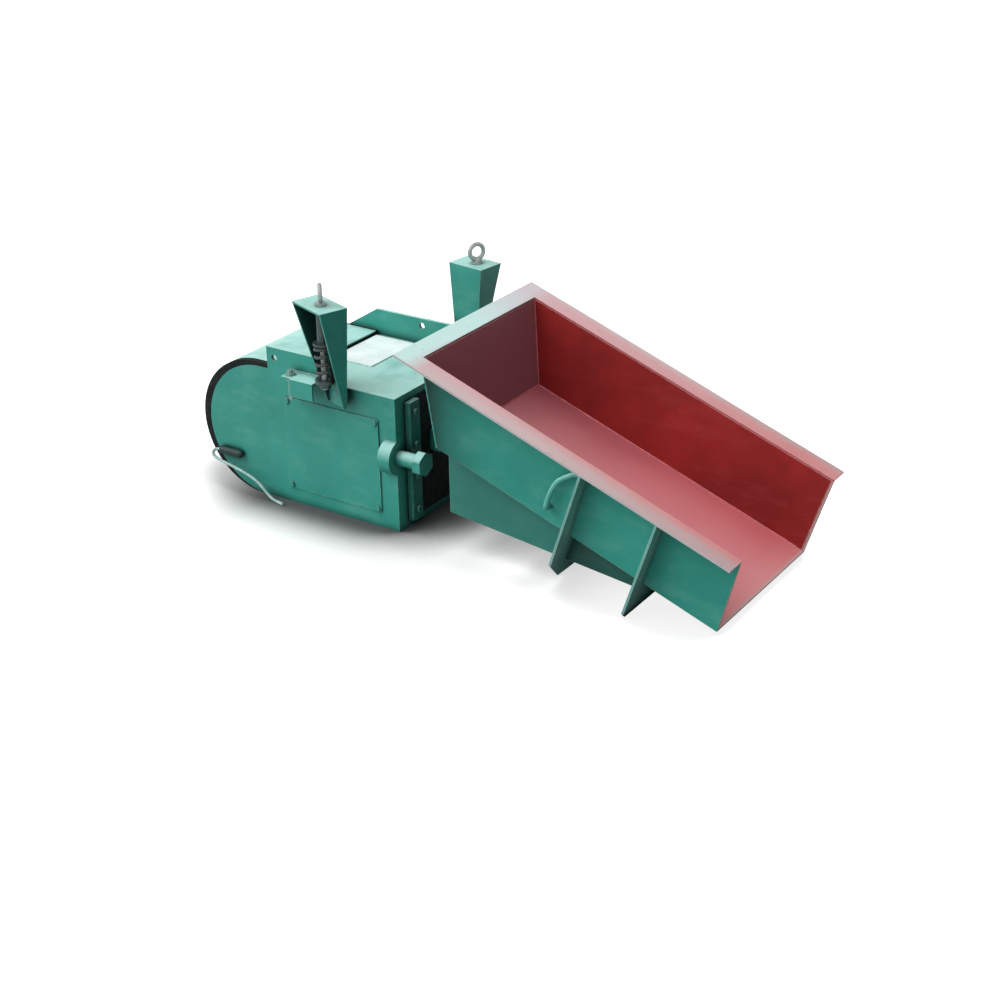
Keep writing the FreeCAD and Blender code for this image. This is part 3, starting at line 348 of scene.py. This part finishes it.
def rim_paint():
    """Rubbed rim: pale primer with pink and grey patches on top, green below."""
    n = Paint("rim_paint")
    place = n.axes(n.coordinate())
    outwards = n.math("ABSOLUTE", place["Y"])

    # The top face: pink, greyer along its outer edge, washed out at the back and flecked
    drift = n.ramp(n.frayed(place["X"], 0.3, 4.0, 3.0), 0.62, 1.65)
    pink = n.mix(drift, RIM_PINK_REAR, RIM_PINK_FRONT)
    pink = n.cover(pink, RIM_PATCH, n.ramp(n.noise(5.0, 4.0, 0.55), 0.36, 0.66), 0.35)
    near = n.times(n.math("LESS_THAN", place["Y"], 0.0), 0.030)
    outer = n.ramp(n.math("ADD", n.frayed(outwards, 0.05, 16.0, 5.0, 0.6), near), 0.415, 0.455)
    grey = n.mix(n.ramp(place["X"], 0.95, 1.65), RIM_GREY_REAR, RIM_GREY_FRONT)
    top = n.cover(pink, grey, outer, 0.75)
    washed = n.mix(n.ramp(place["Y"], 0.02, 0.38), RIM_WASHED_NEAR, RIM_WASHED_FAR)
    back = n.ramp(n.math("ADD", place["X"], n.times(outwards, 0.05)), 0.53, 0.47)
    top = n.mix(back, top, washed)
    top = n.cover(top, RIM_FLECK, n.ramp(n.noise(30.0, 6.0, 0.7), 0.63, 0.70), 0.5)

    sides = n.mix(n.math("GREATER_THAN", outwards, 0.40), RIM_SIDE_INNER, RIM_SIDE_OUTER)
    sides = n.mix(n.math("GREATER_THAN", n.facing(DOWN_SLOPE), 0.5), sides, RIM_END)
    green = brushed_paint_and_sheen(n, GREEN, GREEN_SHADE, GREEN_STREAK_AND_SHEEN)
    off_floor = n.facing(OFF_FLOOR)
    colour = n.mix(n.ramp(off_floor, 0.3, 0.9), sides, top)
    colour = n.mix(n.math("LESS_THAN", off_floor, -0.3), colour, green)
    colour = n.cover(colour, RIM_WORN, n.worn_edges(0.003, 34.0, 0.36, 0.60), 0.6)
    n.bump(n.noise(120.0, 5.0), 0.3, 0.0012)
    return n.finish(colour, n.ramp(n.noise(18.0, 4.0), -1.0, 1.5), 0.0, 0.4)


def black_rubber():
    """Matte rubber, greyed by dust in patches."""
    n = Paint("black_rubber")
    dusty = n.ramp(n.noise(22.0, 6.0, 0.6), 0.40, 0.75)
    colour = n.mix(dusty, (0.006, 0.009, 0.009), (0.020, 0.026, 0.025))
    n.bump(n.noise(240.0, 4.0), 0.35, 0.0008)
    return n.finish(colour, n.ramp(n.noise(30.0), -1.2, 1.0), 0.0, 0.15)


def pale_sheet():
    """The access plate's pale paint, stained and rubbed through at its edges."""
    n = Paint("pale_sheet")
    stains = n.ramp(n.noise(11.0, 7.0, 0.65), 0.45, 0.72)
    colour = n.mix(stains, (0.78, 0.88, 0.87), (0.60, 0.74, 0.72))
    colour = n.mix(n.worn_edges(0.003, 40.0, 0.40, 0.60), colour, (0.28, 0.44, 0.40))
    n.bump(n.noise(90.0, 4.0), 0.2, 0.0008)
    return n.finish(colour, n.ramp(n.noise(14.0), -0.8, 1.6), 0.0, 0.4)


def steel(name, colour, rust, metallic, smooth):
    """Bare or plated steel with darker tones and spots of rust."""
    n = Paint(name)
    darker = tuple(c * 0.75 for c in colour)
    tone = n.mix(n.ramp(n.noise(70.0, 5.0), 0.3, 0.7), darker, colour)
    tone = n.cover(tone, rust, n.ramp(n.noise(34.0, 7.0, 0.7), 0.52, 0.70), 0.5)
    n.bump(n.noise(220.0, 4.0), 0.25, 0.0006)
    return n.finish(tone, n.ramp(n.noise(40.0, 4.0), -smooth, 1.8), metallic, 0.5)


def coil_winding():
    """The drive coil's winding, in narrow bands."""
    n = Paint("coil_winding")
    wave = n.add("ShaderNodeTexWave", bands_direction="X")
    wave.inputs["Scale"].default_value = 60.0
    wave.inputs["Distortion"].default_value = 0.4
    n.feed(wave.inputs["Vector"], n.position())
    colour = n.mix(wave.outputs["Fac"], (0.10, 0.035, 0.012), (0.30, 0.12, 0.045))
    n.bump(wave.outputs["Fac"], 0.6, 0.0015)
    return n.finish(colour, 0.45)


def grey_jacket():
    """The lead's sheath, with dirt on it."""
    n = Paint("grey_jacket")
    dirt = n.ramp(n.noise(40.0, 5.0), 0.40, 0.70)
    colour = n.mix(dirt, (0.36, 0.52, 0.49), (0.19, 0.31, 0.29))
    n.bump(n.noise(300.0, 3.0), 0.2, 0.0004)
    return n.finish(colour, 0.55, 0.0, 0.4)


MATERIALS = {
    "green_paint": green_paint(),
    "trough_paint": trough_paint(),
    "red_paint": red_paint(),
    "rim_paint": rim_paint(),
    "black_rubber": black_rubber(),
    "pale_sheet": pale_sheet(),
    "zinc_steel": steel("zinc_steel", (0.30, 0.42, 0.40), (0.16, 0.12, 0.09), 0.6, 0.8),
    "dark_steel": steel("dark_steel", (0.050, 0.085, 0.080), (0.05, 0.035, 0.025), 0.4, 0.6),
    "spring_steel": steel("spring_steel", (0.040, 0.062, 0.060), (0.07, 0.045, 0.03), 0.3, 0.6),
    "bright_steel": steel("bright_steel", (0.42, 0.46, 0.45), (0.22, 0.19, 0.17), 0.7, 1.0),
    "coil_winding": coil_winding(),
    "grey_jacket": grey_jacket(),
}

# Greens of single pieces: painted shade on pieces in the shade of others, under the trough, on the
# gland and inside the hollow brackets; a painted highlight with dust on the lifting loops; dust on
# the ribs; and rubbed edges on the covers, which also stand in for their edge highlights
# Painted shade: a darker tint for pieces in the shade of others
shaded_green = green_paint("painted_shade_green", tint=0.58)
# Painted shade: wider, stronger darkening inside the open damper brackets
hollow_shaded = green_paint("hollow_shaded_paint", tint=0.95, reach=0.16, shelter=0.42)
# Painted shade: the cable gland tinted nearly black
gland_painted_shade = green_paint("gland_painted_shade", tint=0.08)
# Painted shade: a dark tint for the pieces under the trough
underside_shaded = green_paint("underside_shade_paint", tint=0.33)
# Rubbed edges, stronger, which also stand in for the covers' edge highlights
rubbed = green_paint("rubbed_highlit_paint", wear=1.0)
# Painted highlight: a lighter tint on the lifting loops, with dust
highlit_dusty = green_paint("highlit_dusty_paint", tint=1.3, dust=0.25)
dusty = green_paint("dusty_paint", dust=0.60)
OWN = {
    "skirts_rear": shaded_green, "clamp_bars": shaded_green, "clamp_bar_bolts": shaded_green,
    "skirts_front": underside_shaded, "trough_mounting_plate": underside_shaded,
    "rib_rear": dusty, "rib_front": dusty,
    "damper_bracket_near": hollow_shaded, "damper_bracket_far": hollow_shaded,
    "lifting_loop_near": highlit_dusty, "lifting_loop_far": highlit_dusty,
    "inspection_covers": rubbed, "cable_gland": gland_painted_shade,
    "jack_bolts": MATERIALS["green_paint"], "cover_bolts": MATERIALS["green_paint"],
}

slot_of = {entry["node"]: entry["material_slot"] for entry in frame["record"]["subparts"]}
for name, thing in nodes.items():
    thing.data.materials.clear()
    thing.data.materials.append(OWN.get(name, MATERIALS[slot_of[name]]))


# Rounded edges on the plates and castings

def round_edges(thing, width):
    bevel = thing.modifiers.new("edges", "BEVEL")
    bevel.width = width
    bevel.segments = 2
    bevel.limit_method = "ANGLE"
    bevel.angle_limit = math.radians(40)


USUAL_WIDTH = 0.0015
WIDTHS = {
    "rim_near": 0.0022, "rim_far": 0.0022, "rim_back": 0.0022,
    "trough_pan": 0.0025, "rib_rear": 0.0025, "rib_front": 0.0025,
    "trough_mounting_plate": 0.003, "jack_bolts": 0.003, "armature": 0.003,
    "connecting_fork": 0.006,
}
# Pieces that keep their edges as they are, by the start of their names
SKIPPED = ("supply_lead", "damper_spring", "hanger_rod", "coil", "hood_seal", "rear_hood")
for name, thing in nodes.items():
    if not name.startswith(SKIPPED):
        round_edges(thing, WIDTHS.get(name, USUAL_WIDTH))


# Weld beads

TILT = math.radians(20)
RIM_BACK = Vector((0.476, 0.0, 0.7524))  # the rear end of the rim's line, in the middle
DEPTH, PLATE = 0.297, 0.008
UNDER = DEPTH + PLATE
RIM_HALF, FLOOR_HALF = 0.350, 0.323  # half the trough's width at its rim and at its floor
RIM_LENGTH, BACK_LEAD = 1.289, 0.143  # the back wall's foot stands forward by the lead
RIB_FACES = (0.704, 0.713, 1.004, 1.013)
HOUSING_HALF = 0.256
BOSS_BACK, BOSS_FRONT = 0.223, 0.274
BOSS_MIDDLE, BOSS_HALF = 0.290, 0.063


def in_trough(u, y, v):
    """A point given along the trough, across it and square to its floor, in the part's frame."""
    ahead = u * math.cos(TILT) + v * math.sin(TILT)
    above = v * math.cos(TILT) - u * math.sin(TILT)
    return RIM_BACK + Vector((ahead, y, above))


def wall(v, outside=True):
    """Distance of a trough wall's face from the middle at depth v."""
    return RIM_HALF - (RIM_HALF - FLOOR_HALF) * v / DEPTH + (PLATE if outside else 0.0)


def on_wall(u, side, v, outside=True):
    """A point on a trough wall's face at depth v."""
    return in_trough(u, side * wall(v, outside), -v)


def floor_line(u, v):
    """Both ends of a line across the trough's floor at depth v."""
    return [in_trough(u, -FLOOR_HALF, -v), in_trough(u, FLOOR_HALF, -v)]


def back_wall(v):
    """How far along the trough the leaning back wall stands at depth v."""
    return BACK_LEAD * v / DEPTH


def resampled(points, step):
    """Evenly spaced points along a run of straight lines."""
    out = [points[0].copy()]
    for a, b in zip(points, points[1:]):
        count = max(1, round((b - a).length / step))
        out += [a.lerp(b, (i + 1) / count) for i in range(count)]
    return out


def bead(bm, points, radius, sides=7, step=0.0026):
    """Adds a rippled bead of weld along a run of points, ends closed."""
    path = resampled(points, step)
    rings = []
    for i, place in enumerate(path):
        ahead = (path[min(i + 1, len(path) - 1)] - path[max(i - 1, 0)]).normalized()
        across = ahead.orthogonal().normalized()
        other = ahead.cross(across)
        swell = radius * (1 + 0.16 * math.sin(i * 2.2) + 0.22 * noise.noise(place * 60))
        ring = []
        for k in range(sides):
            angle = 2 * math.pi * k / sides
            offset = (across * math.cos(angle) + other * math.sin(angle)) * swell
            ring.append(bm.verts.new(place + offset))
        rings.append(ring)
    for a, b in zip(rings, rings[1:]):
        for k in range(sides):
            bm.faces.new((a[k], a[(k + 1) % sides], b[(k + 1) % sides], b[k]))
    bm.faces.new(list(reversed(rings[0])))
    bm.faces.new(rings[-1])


def bead_piece(name, runs, radius, body, slot):
    """One object for all the beads of a body and a colour."""
    bm = bmesh.new()
    for run in runs:
        bead(bm, [Vector(point) for point in run], radius)
    mesh = bpy.data.meshes.new(name)
    bm.normal_update()
    bm.to_mesh(mesh)
    bm.free()
    for polygon in mesh.polygons:
        polygon.use_smooth = True
    mesh.materials.append(MATERIALS[slot])
    piece = in_scene(name, mesh)
    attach(piece, body)


def trough_welds():
    """Beads outside: up the ribs, under the rim, down the back corners and under the floor."""
    top, corner_top, overhang = 0.010, 0.012, 0.004
    rim_ends = (-0.002, RIM_LENGTH - 0.004)
    runs = []
    for _, side in SIDES:
        for u in RIB_FACES:
            runs.append([on_wall(u, side, top), on_wall(u, side, UNDER)])
        runs.append([on_wall(u, side, top) for u in rim_ends])
        runs.append([on_wall(back_wall(v) - overhang, side, v) for v in (corner_top, UNDER)])
    runs += [floor_line(u, UNDER) for u in RIB_FACES]
    bead_piece("trough_welds", runs, 0.0036, "trough", "green_paint")


def inner_welds():
    """Corner beads along the floor and up the back corners inside the trough."""
    corner_top = 0.004
    floor_ends = (BACK_LEAD + 0.004, RIM_LENGTH - 0.012)
    runs = [floor_line(BACK_LEAD, DEPTH)]
    for _, side in SIDES:
        runs.append([on_wall(back_wall(v), side, v, False) for v in (corner_top, DEPTH)])
        runs.append([in_trough(u, side * FLOOR_HALF, -DEPTH) for u in floor_ends])
    bead_piece("inner_welds", runs, 0.0030, "trough", "red_paint")


def housing_welds():
    """Beads around the bolt bosses and the dampers' ledges on the side plates."""
    boss_low, boss_high = BOSS_MIDDLE - BOSS_HALF, BOSS_MIDDLE + BOSS_HALF
    runs = []
    for word, side in SIDES:
        face = side * HOUSING_HALF
        runs.append([(BOSS_FRONT, face, boss_high), (BOSS_BACK, face, boss_high),
                     (BOSS_BACK, face, boss_low), (BOSS_FRONT, face, boss_low)])
        low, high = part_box("damper_ledge_" + word)
        front, back, top = high[0], low[0], high[2]
        runs.append([(back, face, top), (front, face, top), (front, face, low[2])])
    bead_piece("housing_welds", runs, 0.0032, "housing", "green_paint")


trough_welds()
inner_welds()
housing_welds()


# Coil springs of the dampers

def coil_spring(word):
    """The damper's spring as a piece of its own, copied from the part's spring."""
    name = "damper_spring_" + word
    piece = in_scene("coil_spring_" + word, nodes[name].data.copy())
    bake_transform(piece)
    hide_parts(name)


for word, _ in SIDES:
    coil_spring(word)


# Leaf springs: held by the housing at their ends and by the fork in the middle

HELD_BY_FORK, HELD_BY_HOUSING = 0.045, 0.182
BENDS = 8  # sections of the free stretch of each half


def cut(bm, y, towards, **settings):
    """Cuts a mesh by a plane square to Y."""
    bmesh.ops.bisect_plane(bm, geom=bm.verts[:] + bm.edges[:] + bm.faces[:],
                           plane_co=(0, y, 0), plane_no=(0, towards, 0), **settings)


def leaf_springs(level):
    """A pack of leaves in two halves, each cut into sections between its clamped end and the fork.
    """
    name = "leaf_springs_" + level
    for word, side in SIDES:
        bm = bmesh.new()
        bm.from_mesh(nodes[name].data)
        for i in range(BENDS + 1):
            cut(bm, side * (HELD_BY_FORK + (HELD_BY_HOUSING - HELD_BY_FORK) * i / BENDS), 1)
        cut(bm, 0, side, clear_inner=True)
        mesh = bpy.data.meshes.new("leaves_%s_%s" % (level, word))
        bm.to_mesh(mesh)
        bm.free()
        mesh.materials.append(MATERIALS["dark_steel"])
        piece = in_scene(mesh.name, mesh)
        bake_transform(piece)
        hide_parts(name)


leaf_springs("lower")
leaf_springs("upper")


# Supply lead, from its gland to its bare end, in millimetres

LEAD = [
    (-549.0, -271.0, 143.0), (-568.0, -271.5, 142.0), (-584.0, -275.0, 134.0),
    (-588.0, -279.0, 120.0), (-575.0, -281.5, 109.0), (-552.0, -283.0, 103.0),
    (-500.0, -285.0, 95.0), (-440.0, -287.0, 84.0), (-390.0, -289.0, 71.0),
    (-350.0, -291.0, 52.0), (-318.0, -294.0, 27.0), (-290.0, -298.0, 9.5),
    (-260.0, -303.0, 5.8), (-228.0, -308.0, 5.8),
]


def supply_lead(radius):
    curve = bpy.data.curves.new("lead", "CURVE")
    curve.dimensions = "3D"
    curve.bevel_depth = radius
    curve.bevel_resolution = 6
    curve.resolution_u = 10
    curve.use_fill_caps = True
    spline = curve.splines.new("NURBS")
    spline.points.add(len(LEAD) - 1)
    for point, place in zip(spline.points, LEAD):
        point.co = (*[c / 1000 for c in place], 1.0)
    spline.order_u = 3
    spline.use_endpoint_u = True
    curve.materials.append(MATERIALS["grey_jacket"])
    lead = in_scene("lead", curve)
    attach(lead, "housing")
    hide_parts("supply_lead")


supply_lead(radius=0.0055)


# Floor, world and lamp

FLOOR_REACH = 40.0
FLOOR_SHADE, FLOOR_WHITE = (0.09, 0.094, 0.094), (0.93, 0.93, 0.93)
FLOOR_BOUNCE = (0.26, 0.265, 0.265)


def floor():
    """A white floor with a soft shade under the part, darker to the light that it throws back.

    For the camera alone it glows under the trough and behind the hood.
    """
    turns = ((-1, -1), (1, -1), (1, 1), (-1, 1))
    mesh = bpy.data.meshes.new("floor")
    mesh.from_pydata([(x * FLOOR_REACH, y * FLOOR_REACH, 0) for x, y in turns], [], [(0, 1, 2, 3)])
    n = Paint("floor")
    ray = n.add("ShaderNodeLightPath").outputs
    seen = n.math("ADD", n.math("ADD", ray["Is Camera Ray"], ray["Is Glossy Ray"]),
                  ray["Is Transmission Ray"], True)
    shown = n.mix(n.open_sky(0.29, 0.63, 0.975, 20), FLOOR_SHADE, FLOOR_WHITE)
    along = n.axes(n.coordinate())["X"]
    ahead = n.times(n.ramp(along, 0.28, 1.28, "SMOOTHSTEP"), 0.85)
    behind = n.times(n.ramp(along, -0.32, -0.66, "SMOOTHSTEP"), 0.45)
    glow = n.times(n.math("MAXIMUM", ahead, behind), ray["Is Camera Ray"])
    n.feed(n.shader.inputs["Emission Strength"], glow)
    n.shader.inputs["Emission Color"].default_value = (1, 1, 1, 1)
    mesh.materials.append(n.finish(n.mix(seen, FLOOR_BOUNCE, shown), 1.0, 0.0, 0.0))
    plane = in_scene("floor", mesh)


def world_light(low, high, towards):
    """A soft studio dome, brighter towards one side, that lights the part.

    The camera, reflections and views through clear pieces see plain white in its place.
    """
    world = bpy.data.worlds.new("studio")
    world.use_nodes = True
    n = Nodes(world.node_tree)
    background = n.tree.nodes["Background"]
    background.inputs["Color"].default_value = (1, 1, 1, 1)
    side = n.dot(n.coordinate("Generated"), Vector(towards).normalized())
    dome = n.ramp(side, -0.10, 1.0, "SMOOTHSTEP", (low, high))
    ray = n.add("ShaderNodeLightPath").outputs
    shows_white = ray["Is Camera Ray"]
    for kind in ("Is Glossy Ray", "Is Transmission Ray"):
        shows_white = n.math("MAXIMUM", shows_white, ray[kind])
    level = n.add("ShaderNodeMix")
    n.feed(level.inputs["Factor"], shows_white)
    n.feed(level.inputs["A"], dome)
    n.feed(level.inputs["B"], 1.0)
    n.feed(background.inputs["Strength"], level.outputs["Result"])
    bpy.context.scene.world = world


def sun(name, towards, strength, angle):
    """A sun that shines towards a direction, with its disc's angle in degrees."""
    data = bpy.data.lights.new(name, "SUN")
    data.energy = strength
    data.angle = math.radians(angle)
    lamp = in_scene(name, data)
    lamp.rotation_euler = Vector(towards).to_track_quat("-Z", "Y").to_euler()


floor()
world_light(low=0.03, high=1.6, towards=(-0.50, -0.50, 0.70))
sun("key", towards=(0.45, 0.50, -0.74), strength=1.2, angle=40.0)
bpy.context.scene.view_settings.view_transform = "Standard"
